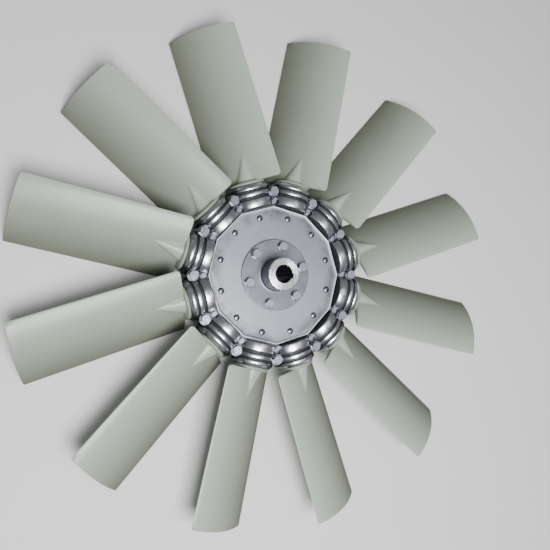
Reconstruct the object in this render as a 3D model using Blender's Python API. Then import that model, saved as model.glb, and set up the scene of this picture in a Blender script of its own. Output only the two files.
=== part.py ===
"""Axial fan impeller: twelve moulded blades clamped by their round shanks between two cast hub halves.

The impeller lies flat, with its air inlet side up. The origin is on the floor, below the shaft axis, and
+Z runs up the shaft axis. Each blade's shank lies along a radius, in the plane where the hub halves meet.
"""

import math

import bmesh
import bpy
from mathutils import Matrix, Vector

MM = 0.001
FULL_TURN = 2 * math.pi
GAP = 0.3 * MM  # between pieces that touch

BLADE_COUNT = 12
PITCH_STEP = FULL_TURN / BLADE_COUNT
TIP_RADIUS = 560 * MM

# Blade: a cambered, twisted aerofoil. Its leading edge is on the clockwise side, seen from above.
ROOT_X = 211 * MM
ROOT_CHORD, TIP_CHORD = 161 * MM, 152 * MM
ROOT_ANGLE, TIP_ANGLE = math.radians(38), math.radians(30.5)
ROOT_AXIS_SHARE, TIP_AXIS_SHARE = 0.52, 0.445  # where the pitch axis crosses the chord, from the leading edge
CAMBER = 12 * MM
ROOT_THICKNESS, TIP_THICKNESS = 14 * MM, 10 * MM
TRAILING_THICKNESS = 2.4 * MM
TIP_NOSE_CORNER, ROOT_NOSE_CORNER = 4 * MM, 8 * MM
CHORD_POINTS, SPAN_POINTS = 9, 4

# Shank: the round root of a blade, with a collar that the hub halves hold.
SHANK_RADIUS = 33 * MM
COLLAR_RADIUS = 39 * MM
SHANK_START, COLLAR_START, COLLAR_END = 156 * MM, 178 * MM, 188 * MM
NECK_RADIUS = 41 * MM
NECK_START = 205.6 * MM
SPINE_START, SPINE_RADIUS, SPINE_END = 213 * MM, 25 * MM, 276 * MM
SPINE_LIFT, SPINE_RISE = 7 * MM, 23 * MM  # the spine's base and its point above the shank's axis
SHANK_SIDES = 16
SOCKET_CLEARANCE = 1.0 * MM

# Hub halves, with heights above the plane where they meet.
SPLIT_GAP = 0.15 * MM
WEB_BOTTOM, WEB_TOP = 11.7 * MM, 19.7 * MM
RING_INNER, RING_OUTER = 142 * MM, 197 * MM
WEB_HOLE = 36.5 * MM
SADDLE_TOP = 49 * MM
SADDLE_PROFILE = (  # (distance from the shaft axis, radius about the shank's axis)
    (151.5 * MM, 44 * MM),
    (154 * MM, SADDLE_TOP),
    (171 * MM, SADDLE_TOP),
    (173 * MM, 45 * MM),
    (177.5 * MM, 45 * MM),
    (179.5 * MM, 48.5 * MM),
    (199 * MM, 48.5 * MM),
    (205 * MM, 43.5 * MM),
)
SADDLE_SIDES = 16
RIM_BOLT_CIRCLE, RIM_BOSS_RADIUS = 186 * MM, 13 * MM
BOSS_TOP = 25 * MM
BOSS_SIDES = 12
SEAT_MARGIN = 0.5 * MM  # round each boss, where its seat is cut into the saddles

# Face plates: twelve-sided, one on each hub half.
PLATE_BOTTOM, PLATE_TOP = 20 * MM, 25 * MM
PLATE_CORNER = 153 * MM
PLATE_LIP_WIDTH, PLATE_LIP_HEIGHT = 3 * MM, 1.5 * MM

# Bushing: a flange on the front plate, a boss that stands up from it, and a keyed bore right through.
FLANGE_RADIUS, FLANGE_TOP = 79 * MM, 29.7 * MM
BUSHING_RADIUS, BUSHING_TOP = 35.5 * MM, 78 * MM
BORE_RADIUS = 19 * MM
KEYWAY_WIDTH, KEYWAY_TOP = 10 * MM, 22.3 * MM
KEYWAY_ANGLE = math.radians(90)
BUSHING_SIDES = 32

# Bolts.
BOLT_RADIUS, BOLT_HOLE = 6 * MM, 6.8 * MM
HOLE_SIDES = 8
HEAD_RADIUS, HEAD_HEIGHT = 11.6 * MM, 9.6 * MM
FLANGE_BOLT_COUNT, FLANGE_BOLT_CIRCLE = 6, 65 * MM


def clear_scene():
    for obj in list(bpy.data.objects):
        bpy.data.objects.remove(obj)


def material(name, colour, roughness, metallic):
    made = bpy.data.materials.new(name)
    made.use_nodes = True
    shader = made.node_tree.nodes["Principled BSDF"]
    shader.inputs["Base Color"].default_value = (*colour, 1)
    shader.inputs["Roughness"].default_value = roughness
    shader.inputs["Metallic"].default_value = metallic
    return made


def object_from(bm, name, finish=None, smooth_angle=35):
    """A scene object from a bmesh, with outward normals, shaded smooth between its edges."""
    bmesh.ops.remove_doubles(bm, verts=bm.verts, dist=1e-6)
    bmesh.ops.recalc_face_normals(bm, faces=bm.faces)
    mesh = bpy.data.meshes.new(name)
    bm.to_mesh(mesh)
    bm.free()
    mesh.shade_smooth()
    mesh.set_sharp_from_angle(angle=math.radians(smooth_angle))
    obj = bpy.data.objects.new(name, mesh)
    bpy.context.scene.collection.objects.link(obj)
    if finish:
        mesh.materials.append(finish)
    return obj


def turned(bm, profile, sides, axis):
    """Spins a closed outline of (distance along the axis, radius) about the Z or the X axis."""
    if axis == "Z":
        points = [Vector((radius, 0, along)) for along, radius in profile]
    else:
        points = [Vector((along, 0, radius)) for along, radius in profile]
    verts = [bm.verts.new(point) for point in points]
    edges = [bm.edges.new((verts[i], verts[(i + 1) % len(verts)])) for i in range(len(verts))]
    on_axis = [e for e in edges if all(math.hypot(*radial_part(v.co, axis)) < 1e-9 for v in e.verts)]
    if on_axis:
        bmesh.ops.delete(bm, geom=on_axis, context="EDGES_FACES")
    kept = [v for v in verts if v.is_valid] + [e for e in edges if e.is_valid]
    turn_axis = (0, 0, 1) if axis == "Z" else (1, 0, 0)
    bmesh.ops.spin(bm, geom=kept, cent=(0, 0, 0), axis=turn_axis, angle=FULL_TURN, steps=sides, use_merge=True)


def radial_part(point, axis):
    return (point.x, point.y) if axis == "Z" else (point.y, point.z)


def prism(bm, outline, bottom, top):
    """Extrudes a closed outline of (x, y) points from one height to another."""
    face = bm.faces.new([bm.verts.new((x, y, bottom)) for x, y in outline])
    raised = bmesh.ops.extrude_face_region(bm, geom=[face])
    moved = [item for item in raised["geom"] if isinstance(item, bmesh.types.BMVert)]
    bmesh.ops.translate(bm, verts=moved, vec=(0, 0, top - bottom))


def circle(radius, sides, centre=(0, 0), turn=0.0):
    return [
        (
            centre[0] + radius * math.cos(turn + FULL_TURN * i / sides),
            centre[1] + radius * math.sin(turn + FULL_TURN * i / sides),
        )
        for i in range(sides)
    ]


def ring_of(bm, count, first_angle):
    """Copies everything in the bmesh round the shaft axis, and turns the first copy to first_angle."""
    bmesh.ops.rotate(bm, verts=bm.verts, cent=(0, 0, 0), matrix=Matrix.Rotation(first_angle, 3, "Z"))
    seed = list(bm.verts) + list(bm.edges) + list(bm.faces)
    for i in range(1, count):
        copied = bmesh.ops.duplicate(bm, geom=seed)["geom"]
        verts = [item for item in copied if isinstance(item, bmesh.types.BMVert)]
        turn = Matrix.Rotation(FULL_TURN * i / count, 3, "Z")
        bmesh.ops.rotate(bm, verts=verts, cent=(0, 0, 0), matrix=turn)


def combine(obj, other, operation):
    """Applies one Boolean to obj and deletes the other object."""
    modifier = obj.modifiers.new(operation.lower(), "BOOLEAN")
    modifier.operation = operation
    modifier.object = other
    bpy.context.view_layer.objects.active = obj
    bpy.ops.object.modifier_apply(modifier=modifier.name)
    bpy.data.objects.remove(other)


def hub_slice():
    """The part of a hub half round one shank: web, ring, grooved saddle, bolt bosses and socket."""
    bm = bmesh.new()
    profile = [
        (WEB_BOTTOM, WEB_HOLE),
        (WEB_TOP, WEB_HOLE),
        (WEB_TOP, RING_OUTER),
        (-WEB_BOTTOM, RING_OUTER),
        (-WEB_BOTTOM, RING_INNER),
        (WEB_BOTTOM, RING_INNER),
    ]
    turned(bm, profile, 2 * BLADE_COUNT, "Z")
    made = object_from(bm, "hub_slice")

    bm = bmesh.new()
    first, last = SADDLE_PROFILE[0][0], SADDLE_PROFILE[-1][0]
    turned(bm, [(first, 0), *SADDLE_PROFILE, (last, 0)], SADDLE_SIDES, "X")
    combine(made, object_from(bm, "saddle"), "UNION")

    bm = bmesh.new()
    prism(bm, circle(RIM_BOSS_RADIUS, BOSS_SIDES, (RIM_BOLT_CIRCLE, 0)), -BOSS_TOP, BOSS_TOP + MM)
    ring_of(bm, BLADE_COUNT, PITCH_STEP / 2)
    combine(made, object_from(bm, "bosses"), "UNION")

    bm = bmesh.new()
    prism(bm, circle(RIM_BOSS_RADIUS + SEAT_MARGIN, BOSS_SIDES, (RIM_BOLT_CIRCLE, 0)), BOSS_TOP, 2 * SADDLE_TOP)
    ring_of(bm, BLADE_COUNT, PITCH_STEP / 2)
    combine(made, object_from(bm, "rim_seats"), "DIFFERENCE")

    bm = bmesh.new()
    loose = SOCKET_CLEARANCE
    socket = [
        (SHANK_START - loose, 0),
        (SHANK_START - loose, SHANK_RADIUS + loose),
        (COLLAR_START - loose, SHANK_RADIUS + loose),
        (COLLAR_START - loose, COLLAR_RADIUS + loose),
        (COLLAR_END + loose, COLLAR_RADIUS + loose),
        (COLLAR_END + loose, SHANK_RADIUS + loose),
        (SPINE_END, SHANK_RADIUS + loose),
        (SPINE_END, 0),
    ]
    turned(bm, socket, SHANK_SIDES, "X")
    combine(made, object_from(bm, "socket"), "DIFFERENCE")

    bm = bmesh.new()
    prism(bm, circle(BOLT_HOLE, HOLE_SIDES, (RIM_BOLT_CIRCLE, 0)), -2 * BOSS_TOP, 2 * BOSS_TOP)
    ring_of(bm, BLADE_COUNT, PITCH_STEP / 2)
    combine(made, object_from(bm, "rim_holes"), "DIFFERENCE")

    bm = bmesh.new()
    prism(bm, circle(2 * RING_OUTER, 8), -3 * BOSS_TOP, SPLIT_GAP)
    combine(made, object_from(bm, "below_split"), "DIFFERENCE")
    return made


def cut_away(bm, plane_point, plane_normal):
    """Removes what lies on the side that the normal points to."""
    everything = list(bm.verts) + list(bm.edges) + list(bm.faces)
    bmesh.ops.bisect_plane(
        bm, geom=everything, dist=1e-7, plane_co=plane_point, plane_no=plane_normal, clear_outer=True
    )


def hub_half():
    """The front half of the hub: one slice, trimmed, repeated round the shaft axis and welded."""
    one = hub_slice()
    bm = bmesh.new()
    bm.from_mesh(one.data)
    bpy.data.objects.remove(one)
    sine, cosine = math.sin(PITCH_STEP / 2), math.cos(PITCH_STEP / 2)
    cut_away(bm, (0, 0, 0), (-sine, cosine, 0))
    cut_away(bm, (0, 0, 0), (-sine, -cosine, 0))
    ring_of(bm, BLADE_COUNT, 0)
    bmesh.ops.remove_doubles(bm, verts=bm.verts, dist=5e-6)
    half = object_from(bm, "hub_half")

    bm = bmesh.new()
    prism(bm, circle(BOLT_HOLE, HOLE_SIDES, (FLANGE_BOLT_CIRCLE, 0)), -BOSS_TOP, 2 * BOSS_TOP)
    ring_of(bm, FLANGE_BOLT_COUNT, 0)
    combine(half, object_from(bm, "flange_holes"), "DIFFERENCE")
    return half


def face_plate():
    """A twelve-sided plate with a raised lip, its corners between the blades."""
    bm = bmesh.new()
    prism(bm, circle(PLATE_CORNER, BLADE_COUNT, turn=PITCH_STEP / 2), PLATE_BOTTOM, PLATE_TOP + PLATE_LIP_HEIGHT)
    plate = object_from(bm, "plate")
    bm = bmesh.new()
    inside = PLATE_CORNER - PLATE_LIP_WIDTH
    prism(bm, circle(inside, BLADE_COUNT, turn=PITCH_STEP / 2), PLATE_TOP, PLATE_TOP + 2 * PLATE_LIP_HEIGHT)
    combine(plate, object_from(bm, "lip_inside"), "DIFFERENCE")
    bm = bmesh.new()
    prism(bm, circle(WEB_HOLE, BUSHING_SIDES), 0, 2 * PLATE_TOP)
    combine(plate, object_from(bm, "centre_hole"), "DIFFERENCE")
    bm = bmesh.new()
    prism(bm, circle(BOLT_HOLE, HOLE_SIDES, (FLANGE_BOLT_CIRCLE, 0)), 0, 2 * PLATE_TOP)
    ring_of(bm, FLANGE_BOLT_COUNT, 0)
    combine(plate, object_from(bm, "plate_holes"), "DIFFERENCE")
    return plate


def bushing():
    """The flanged sleeve that takes the motor shaft, with its keyway and bolt holes."""
    rear = -PLATE_TOP - PLATE_LIP_HEIGHT
    edge = 2 * MM
    bm = bmesh.new()
    profile = [
        (rear, BORE_RADIUS),
        (rear, BUSHING_RADIUS),
        (PLATE_TOP + GAP, BUSHING_RADIUS),
        (PLATE_TOP + GAP, FLANGE_RADIUS),
        (FLANGE_TOP - 1 * MM, FLANGE_RADIUS),
        (FLANGE_TOP, FLANGE_RADIUS - 1 * MM),
        (FLANGE_TOP, BUSHING_RADIUS),
        (BUSHING_TOP - edge, BUSHING_RADIUS),
        (BUSHING_TOP, BUSHING_RADIUS - edge),
        (BUSHING_TOP, BORE_RADIUS + edge / 2),
        (BUSHING_TOP - edge / 2, BORE_RADIUS),
    ]
    turned(bm, profile, BUSHING_SIDES, "Z")
    sleeve = object_from(bm, "bushing")

    bm = bmesh.new()
    half = KEYWAY_WIDTH / 2
    outline = [(0, -half), (KEYWAY_TOP, -half), (KEYWAY_TOP, half), (0, half)]
    prism(bm, outline, 2 * rear, 2 * BUSHING_TOP)
    ring_of(bm, 1, KEYWAY_ANGLE)
    combine(sleeve, object_from(bm, "keyway"), "DIFFERENCE")

    bm = bmesh.new()
    prism(bm, circle(BOLT_HOLE, HOLE_SIDES, (FLANGE_BOLT_CIRCLE, 0)), 0, 2 * FLANGE_TOP)
    ring_of(bm, FLANGE_BOLT_COUNT, 0)
    combine(sleeve, object_from(bm, "bolt_holes"), "DIFFERENCE")
    return sleeve


def through_bolt(distance, seat, far_seat):
    """A hexagon bolt through everything between its two seats, with its nut."""
    bm = bmesh.new()
    profile = [
        (far_seat - HEAD_HEIGHT, 0),
        (far_seat - HEAD_HEIGHT, HEAD_RADIUS),
        (far_seat, HEAD_RADIUS),
        (far_seat, BOLT_RADIUS),
        (seat, BOLT_RADIUS),
        (seat, HEAD_RADIUS),
        (seat + HEAD_HEIGHT, HEAD_RADIUS),
        (seat + HEAD_HEIGHT, 0),
    ]
    turned(bm, profile, 6, "Z")
    bmesh.ops.translate(bm, verts=bm.verts, vec=(distance, 0, 0))
    return object_from(bm, "bolt")


def blend(root, tip, share):
    return root + (tip - root) * share


def blade_point(along_chord, side, share):
    """A point of the blade: along_chord runs from the leading edge, side is 1 above and -1 below."""
    chord = blend(ROOT_CHORD, TIP_CHORD, share)
    angle = blend(ROOT_ANGLE, TIP_ANGLE, share)
    axis_share = blend(ROOT_AXIS_SHARE, TIP_AXIS_SHARE, share)
    thickness = blend(ROOT_THICKNESS, TIP_THICKNESS, share)
    nose = 2.43 * math.sqrt(along_chord) * (1 - along_chord) ** 0.85
    tail = TRAILING_THICKNESS / 2 * along_chord
    camber = 4 * CAMBER * along_chord * (1 - along_chord)
    lift = camber + side * (thickness / 2 * nose + tail)
    distance = (along_chord - axis_share) * chord
    y = distance * math.cos(angle) + lift * math.sin(angle)
    z = -distance * math.sin(angle) + lift * math.cos(angle)
    return y, z


def corner_loss(along_chord, chord, radius):
    """How far a rounded corner at the leading edge cuts into the span."""
    reach = along_chord * chord / radius
    return 0.0 if reach >= 1 else radius * (1 - math.sqrt(1 - (1 - reach) ** 2))


def blade():
    """One blade along +X: the aerofoil, its shank and collar, and the spine where they meet."""
    shares = [0.5 * (1 - math.cos(math.pi * i / (CHORD_POINTS - 1))) for i in range(CHORD_POINTS)]
    bm = bmesh.new()
    loops = []
    for k in range(SPAN_POINTS):
        share = k / (SPAN_POINTS - 1)
        loop = []
        for along, side in [(s, 1) for s in shares] + [(s, -1) for s in reversed(shares[1:])]:
            y, z = blade_point(along, side, share)
            tip_y, _ = blade_point(along, side, 1)
            inner = ROOT_X + corner_loss(along, ROOT_CHORD, ROOT_NOSE_CORNER)
            outer = math.sqrt(TIP_RADIUS**2 - tip_y**2) - corner_loss(along, TIP_CHORD, TIP_NOSE_CORNER)
            loop.append(bm.verts.new((blend(inner, outer, share), y, z)))
        loops.append(loop)
    for near, far in zip(loops, loops[1:]):
        bridge(bm, near, far)
    bm.faces.new(loops[0])
    bm.faces.new(loops[-1])
    made = object_from(bm, "blade")

    bm = bmesh.new()
    shank = [
        (SHANK_START, 0),
        (SHANK_START, SHANK_RADIUS),
        (COLLAR_START, SHANK_RADIUS),
        (COLLAR_START, COLLAR_RADIUS),
        (COLLAR_END, COLLAR_RADIUS),
        (COLLAR_END, SHANK_RADIUS),
        (NECK_START, SHANK_RADIUS),
        (NECK_START, NECK_RADIUS),
        (SPINE_START, SHANK_RADIUS),
        (SPINE_START, SPINE_RADIUS),
        (SPINE_END, 0),
    ]
    turned(bm, shank, SHANK_SIDES, "X")
    base = [
        v for v in bm.verts
        if abs(v.co.x - SPINE_START) < 1e-6 and math.hypot(v.co.y, v.co.z) < SPINE_RADIUS + 1e-6
    ]
    point = [v for v in bm.verts if v.co.x > SPINE_END - MM]
    bmesh.ops.translate(bm, verts=base, vec=(0, 0, SPINE_LIFT))
    bmesh.ops.translate(bm, verts=point, vec=(0, 0, SPINE_RISE))
    combine(made, object_from(bm, "shank"), "UNION")
    return made


def bridge(bm, near, far):
    for i in range(len(near)):
        after = (i + 1) % len(near)
        bm.faces.new((near[i], near[after], far[after], far[i]))


def add(mesh, name, finish, turn=0.0):
    """One piece of the impeller, from a mesh that repeated pieces share."""
    if not mesh.materials:
        mesh.materials.append(finish)
    obj = bpy.data.objects.new(name, mesh)
    obj.rotation_euler = (0, 0, turn)
    obj.location = (0, 0, SADDLE_TOP)
    bpy.context.scene.collection.objects.link(obj)


def mesh_of(obj, mirrored=False):
    """Takes the mesh from a working object, turned upside down for a rear piece."""
    mesh = obj.data.copy()
    if mirrored:
        mesh.transform(Matrix.Scale(-1, 4, Vector((0, 0, 1))))
        mesh.flip_normals()
    return mesh


def main():
    clear_scene()
    nylon = material("moulded_nylon", (0.56, 0.62, 0.51), 0.35, 0.0)
    cast = material("cast_aluminium", (0.62, 0.63, 0.66), 0.35, 1.0)
    plate_finish = material("plate_aluminium", (0.60, 0.62, 0.64), 0.5, 1.0)
    steel = material("machined_steel", (0.52, 0.53, 0.55), 0.4, 1.0)
    zinc = material("zinc_steel", (0.72, 0.73, 0.76), 0.3, 1.0)

    sources = [blade(), hub_half(), face_plate(), bushing()]
    sources.append(through_bolt(RIM_BOLT_CIRCLE, BOSS_TOP + GAP, -BOSS_TOP - GAP))
    sources.append(through_bolt(FLANGE_BOLT_CIRCLE, FLANGE_TOP + GAP, -PLATE_TOP - GAP))
    blade_mesh, hub_mesh, plate_mesh, bushing_mesh, clamp_mesh, flange_mesh = map(mesh_of, sources)
    rear_hub, rear_plate = mesh_of(sources[1], True), mesh_of(sources[2], True)
    for source in sources:
        bpy.data.objects.remove(source)

    add(hub_mesh, "hub_front", cast)
    add(rear_hub, "hub_rear", cast)
    add(plate_mesh, "plate_front", plate_finish)
    add(rear_plate, "plate_rear", plate_finish)
    add(bushing_mesh, "bushing", steel)
    for i in range(BLADE_COUNT):
        add(blade_mesh, f"blade_{i + 1:02d}", nylon, PITCH_STEP * i)
        add(clamp_mesh, f"clamp_bolt_{i + 1:02d}", zinc, PITCH_STEP * (i + 0.5))
    for i in range(FLANGE_BOLT_COUNT):
        add(flange_mesh, f"flange_bolt_{i + 1}", zinc, FULL_TURN * i / FLANGE_BOLT_COUNT)


main()
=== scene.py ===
"""The looks of an axial fan impeller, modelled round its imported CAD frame."""

import math

import bpy
from bpy.props import FloatProperty, FloatVectorProperty, IntProperty, PointerProperty
from mathutils import Matrix, Vector


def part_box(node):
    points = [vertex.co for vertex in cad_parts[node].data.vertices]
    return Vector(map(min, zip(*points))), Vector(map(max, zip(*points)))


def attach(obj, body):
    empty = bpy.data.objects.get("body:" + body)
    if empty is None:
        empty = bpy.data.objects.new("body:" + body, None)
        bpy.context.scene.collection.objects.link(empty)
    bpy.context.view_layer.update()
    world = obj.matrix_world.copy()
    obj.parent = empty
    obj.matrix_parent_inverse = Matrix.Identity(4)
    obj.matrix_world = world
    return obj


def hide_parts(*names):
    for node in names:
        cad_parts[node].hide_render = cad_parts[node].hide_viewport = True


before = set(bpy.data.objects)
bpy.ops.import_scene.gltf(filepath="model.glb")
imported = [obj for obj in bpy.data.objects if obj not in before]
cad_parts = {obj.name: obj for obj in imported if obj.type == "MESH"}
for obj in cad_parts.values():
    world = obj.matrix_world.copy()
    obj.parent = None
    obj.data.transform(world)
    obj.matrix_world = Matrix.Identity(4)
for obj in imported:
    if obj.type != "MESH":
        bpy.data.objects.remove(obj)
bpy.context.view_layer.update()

bl_info = {
    "name": "Axial fan impeller",
    "version": (1, 0, 0),
    "blender": (4, 5, 0),
    "location": "3D View > Sidebar > Impeller",
    "description": "Models the pieces of an axial fan impeller and the studio that it is shown in",
    "category": "Object",
}

MM = 0.001
FULL_TURN = 2 * math.pi
BLADES = 12
STEP = FULL_TURN / BLADES
FLANGE_BOLTS = 6
GAP = 0.3 * MM  # between pieces that touch
SLACK = 0.1 * MM  # for telling faces apart by their place
FAR = 100 * MM  # past the end of any piece, for cutters

# The height of the hub's middle in the frame; the pieces are modelled about it and lifted to it
MIDDLE = (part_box("hub_front")[0].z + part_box("hub_rear")[1].z) / 2

# Heights above the hub's middle
SPLIT = 0.15 * MM
PLATE_BOTTOM, PLATE_TOP = 20 * MM, 25 * MM
RIM_FOOT = PLATE_TOP + 0.3 * MM
FLANGE_TOP = 29.7 * MM
BUSHING_REAR, BUSHING_TOP = -26.5 * MM, 78 * MM
SEAT_TOP = 25 * MM

# Radii about the shaft axis
RIM_CIRCLE = 186 * MM
INNER_CIRCLE = 163.5 * MM
SCREW_CIRCLE = 129.2 * MM
FLANGE_CIRCLE = 65 * MM
PLATE_CORNER = 153 * MM
RING_INNER, RING_OUTER = 142 * MM, 197 * MM
WEB_HOLE = 36.5 * MM
BORE = 19 * MM
BOSS = 35.5 * MM
FLANGE = 79 * MM
KEY_WIDTH, KEY_TOP = 10 * MM, 22.3 * MM

# Outlines about a blade's own axis, in millimetres: distance from the shaft, radius.
# The saddle carries the hub's bright bands and dark grooves over each shank.
SADDLE = (
    (151.5, 0), (151.5, 43.0), (151.8, 45.4), (152.6, 47.2), (153.8, 48.4), (155.4, 49.0), (169.4, 49.0),
    (170.8, 48.5), (171.8, 47.2), (172.4, 44.2), (177.4, 44.2), (178.2, 46.6), (179.0, 48.0),
    (180.4, 48.6), (185.6, 48.6), (186.8, 48.1), (187.6, 46.8), (188.2, 44.4), (191.6, 44.4),
    (192.2, 46.4), (193.2, 47.7), (194.6, 48.2), (198.2, 48.0), (200.0, 47.1), (201.4, 45.4),
    (205.0, 43.6), (205.0, 0),
)
SOCKET = ((155, 0), (155, 34), (177, 34), (177, 40), (189, 40), (189, 34), (220, 34), (220, 0))
SHANK = (
    (156, 0), (156, 32), (157, 33), (178, 33), (178, 39), (188, 39), (188, 33), (205.6, 33),
    (205.6, 39.6), (206.2, 40.6), (207.4, 41), (210.2, 41), (211.6, 40.4), (212.6, 38.8), (213.2, 36),
    (213.5, 30), (214, 24), (215.6, 20.6), (219, 18), (219, 0),
)

# The grooves and the saddles' inner ends get a near-black finish: painted shade, with grime
# The dark grooves between the bands, in millimetres: from and to, and the radii that they lie between
GROOVES = ((171.9, 178.1, 40.5, 47.2), (187.7, 192.1, 40.5, 46.6))
SADDLE_END = (150.5, 152.9, 21)  # the saddles' inner ends: from and to, and the height that they lie above

# Where across the chord a blade's section has its points, from the leading edge
NOSE_SHARES = (0, 0.0015, 0.005, 0.01, 0.017, 0.027, 0.04, 0.057, 0.08, 0.11, 0.145, 0.18, 0.22, 0.26)
SPINE_SHARES = tuple(0.2875 + 0.0125 * i for i in range(38))
TAIL_SHARES = (0.78, 0.81, 0.845, 0.88, 0.92, 0.955, 0.98, 1.0)
CHORD_SHARES = NOSE_SHARES + SPINE_SHARES + TAIL_SHARES

# Sections along a blade: close together over the spine, and even from there to the tip
SPINE_SECTIONS, SPINE_SECTION_STEP = 28, 2.4 * MM
OUTER_SECTIONS = 14
SECTION_SCALE, TAIL_POWER = 2.43, 0.85  # make a section thickest, and 1 there, at 0.37 of the chord
SPINE_FALL = 2.2  # how steeply a spine's surface is carried on down past its sides

# The spines get the leading edge's colour, a painted highlight: the height above the blade where they get
# it fully, and the share of the chord that they then count as
LIT_SPINE_HEIGHT = 5 * MM
LIT_SPINE_SHARE = -0.15

# Fasteners
LARGE_THREAD, SMALL_THREAD = 6 * MM, 3 * MM
SMALL_WASHER, SMALL_WASHER_HEIGHT = 6.2 * MM, 1.2 * MM
THREAD_END = 1.5 * MM  # how far a bolt stands out of its nut
SCREW_SOCKET, SCREW_SOCKET_FLOOR = 2.6 * MM, 1.2 * MM
TIGHTENED_STEP = 0.37  # radians, from which each fastener gets a turn of its own

RIM_FLAT = 0.45  # the share of a face plate's rim that is level; the rest slopes down to the face

# Studio: the floor, the lights, which shine on the middle of the impeller, and the camera
FLOOR_SIZE = 14
LIT_POINT = (0, 0, 0.08)
KEY_PLACE, KEY_SIZE, KEY_POWER = (0.85, 0.0, 2.4), (1.3, 1.3), 106
SHEET_PLACE, SHEET_SIZE, SHEET_POWER = (-0.5, 1.1, 2.4), (1.2, 1.2), 5
SHEET_TINT = (0.95, 0.96, 1.0)
BACKDROP, BACKDROP_STRENGTH = (0.86, 0.86, 0.88, 1), 0.23
LOOKED_AT = (0, 0, 0.074)


# Sizes and colours

def length(name, text, default):
    return FloatProperty(name=name, description=text, default=default, min=0.0, unit="LENGTH")


def angle(name, text, default):
    return FloatProperty(name=name, description=text, default=default, subtype="ANGLE")


def colour(name, text, default):
    return FloatVectorProperty(
        name=name, description=text, default=default, size=3, min=0.0, max=1.0, subtype="COLOR"
    )


def share(name, text, default):
    return FloatProperty(
        name=name, description=text, default=default, min=0.0, max=1.0, subtype="FACTOR"
    )


class BladeSettings(bpy.types.PropertyGroup):
    """Sizes and colour of the moulded blades"""

    root_start: length("Root", "Distance of the root edge from the shaft's axis", 211 * MM)
    tip_radius: length("Tip radius", "Radius that the tips are cut to", 560 * MM)
    root_chord: length("Root chord", "Width of the blade at the hub", 161 * MM)
    tip_chord: length("Tip chord", "Width of the blade at its tip", 152 * MM)
    root_angle: angle("Root pitch", "Pitch of the chord at the hub", math.radians(38))
    tip_angle: angle("Tip pitch", "Pitch of the chord at the tip", math.radians(30.5))
    root_axis: share("Root axis", "Where the pitch axis crosses the root chord", 0.52)
    tip_axis: share("Tip axis", "Where the pitch axis crosses the tip chord", 0.445)
    camber: length("Camber", "Rise of the section's middle line", 12 * MM)
    root_thickness: length("Root thickness", "Greatest thickness at the hub", 14 * MM)
    tip_thickness: length("Tip thickness", "Greatest thickness at the tip", 10 * MM)
    trailing_edge: length("Trailing edge", "Thickness of the trailing edge", 2.4 * MM)
    tip_corner: length("Tip corner", "Rounding of the leading corner at the tip", 4 * MM)
    root_corner: length("Root corner", "Rounding of the leading corner at the hub", 8 * MM)
    spine_start: length("Spine start", "Where the spine leaves the neck, from the shaft's axis", 213 * MM)
    spine_radius: length("Spine radius", "Radius of the spine where it leaves the neck", 25 * MM)
    spine_end: length("Spine end", "Distance of the spine's point from the shaft's axis", 275 * MM)
    spine_lift: length("Spine lift", "How far the spine's base lies above the pitch axis", 7 * MM)
    spine_rise: length("Spine rise", "How far the spine's point lies above the pitch axis", 24 * MM)
    spine_fillet: length("Spine fillet", "Height over which the spine blends into the blade", 3.5 * MM)
    nylon: colour("Nylon", "Colour of the moulded nylon", (0.315, 0.357, 0.302))


class HubSettings(bpy.types.PropertyGroup):
    """Sizes and colours of the hub's castings, plates and bushing"""

    web_bottom: length("Web bottom", "Height of the web's underside above the hub's middle", 11.7 * MM)
    web_top: length("Web top", "Height of the web's face above the hub's middle", 19.7 * MM)
    boss_radius: length("Bolt boss", "Radius of the pad under each clamp bolt", 13 * MM)
    inner_boss: length("Small boss", "Radius of the pad under each small bolt", 8.5 * MM)
    lip_width: length("Lip width", "Width of the raised rim of a face plate", 3.4 * MM)
    lip_height: length("Lip height", "Height of the raised rim of a face plate", 2.6 * MM)
    round_steps: IntProperty(name="Round steps", description="Steps round a saddle", default=72, min=16)
    aluminium: colour("Cast aluminium", "Colour of the die-cast hub halves", (0.70, 0.71, 0.75))
    # The grooves' near-black colour is painted shade, with grime
    grime_and_shade: colour("Grime and shade", "Colour of the grooves between the saddles' bands", (0.045, 0.047, 0.052))
    plate: colour("Plate aluminium", "Colour of the face plates", (0.335, 0.34, 0.385))
    # The rim's bright colour is a painted highlight
    lip: colour("Plate rim", "Colour of the face plates' bright rim", (0.86, 0.87, 0.90))
    flange: colour("Flange steel", "Colour of the bushing's flange", (0.215, 0.225, 0.25))
    machined: colour("Machined steel", "Colour of the turned face of the boss", (0.82, 0.83, 0.86))
    # The boss's side and the bore are darker steel with painted shade
    dark_and_shaded: colour("Dark and shaded steel", "Colour of the boss's side and the bore", (0.16, 0.17, 0.20))


class FastenerSettings(bpy.types.PropertyGroup):
    """Sizes and colours of the bolts and screws"""

    head_width: length("Bolt head", "Distance across the flats of a large head", 19 * MM)
    head_height: length("Head height", "Height of a large head", 7.4 * MM)
    washer_radius: length("Washer", "Radius of a large washer", 12 * MM)
    washer_height: length("Washer height", "Thickness of a large washer", 2.2 * MM)
    small_width: length("Small head", "Distance across the flats of a small head", 10 * MM)
    small_height: length("Small head height", "Height of a small head", 4 * MM)
    screw_radius: length("Screw head", "Radius of a face plate screw's head", 7 * MM)
    screw_height: length("Screw height", "How far a face plate screw's head stands up", 3 * MM)
    zinc: colour("Zinc", "Colour of the zinc-plated steel", (0.40, 0.40, 0.45))
    # The darker zinc is the face plate screws' own tone; on the bolts' washers and stems it is painted
    # shade
    dull: colour("Dull zinc", "Colour of the face plates' screws", (0.22, 0.225, 0.255))


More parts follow.
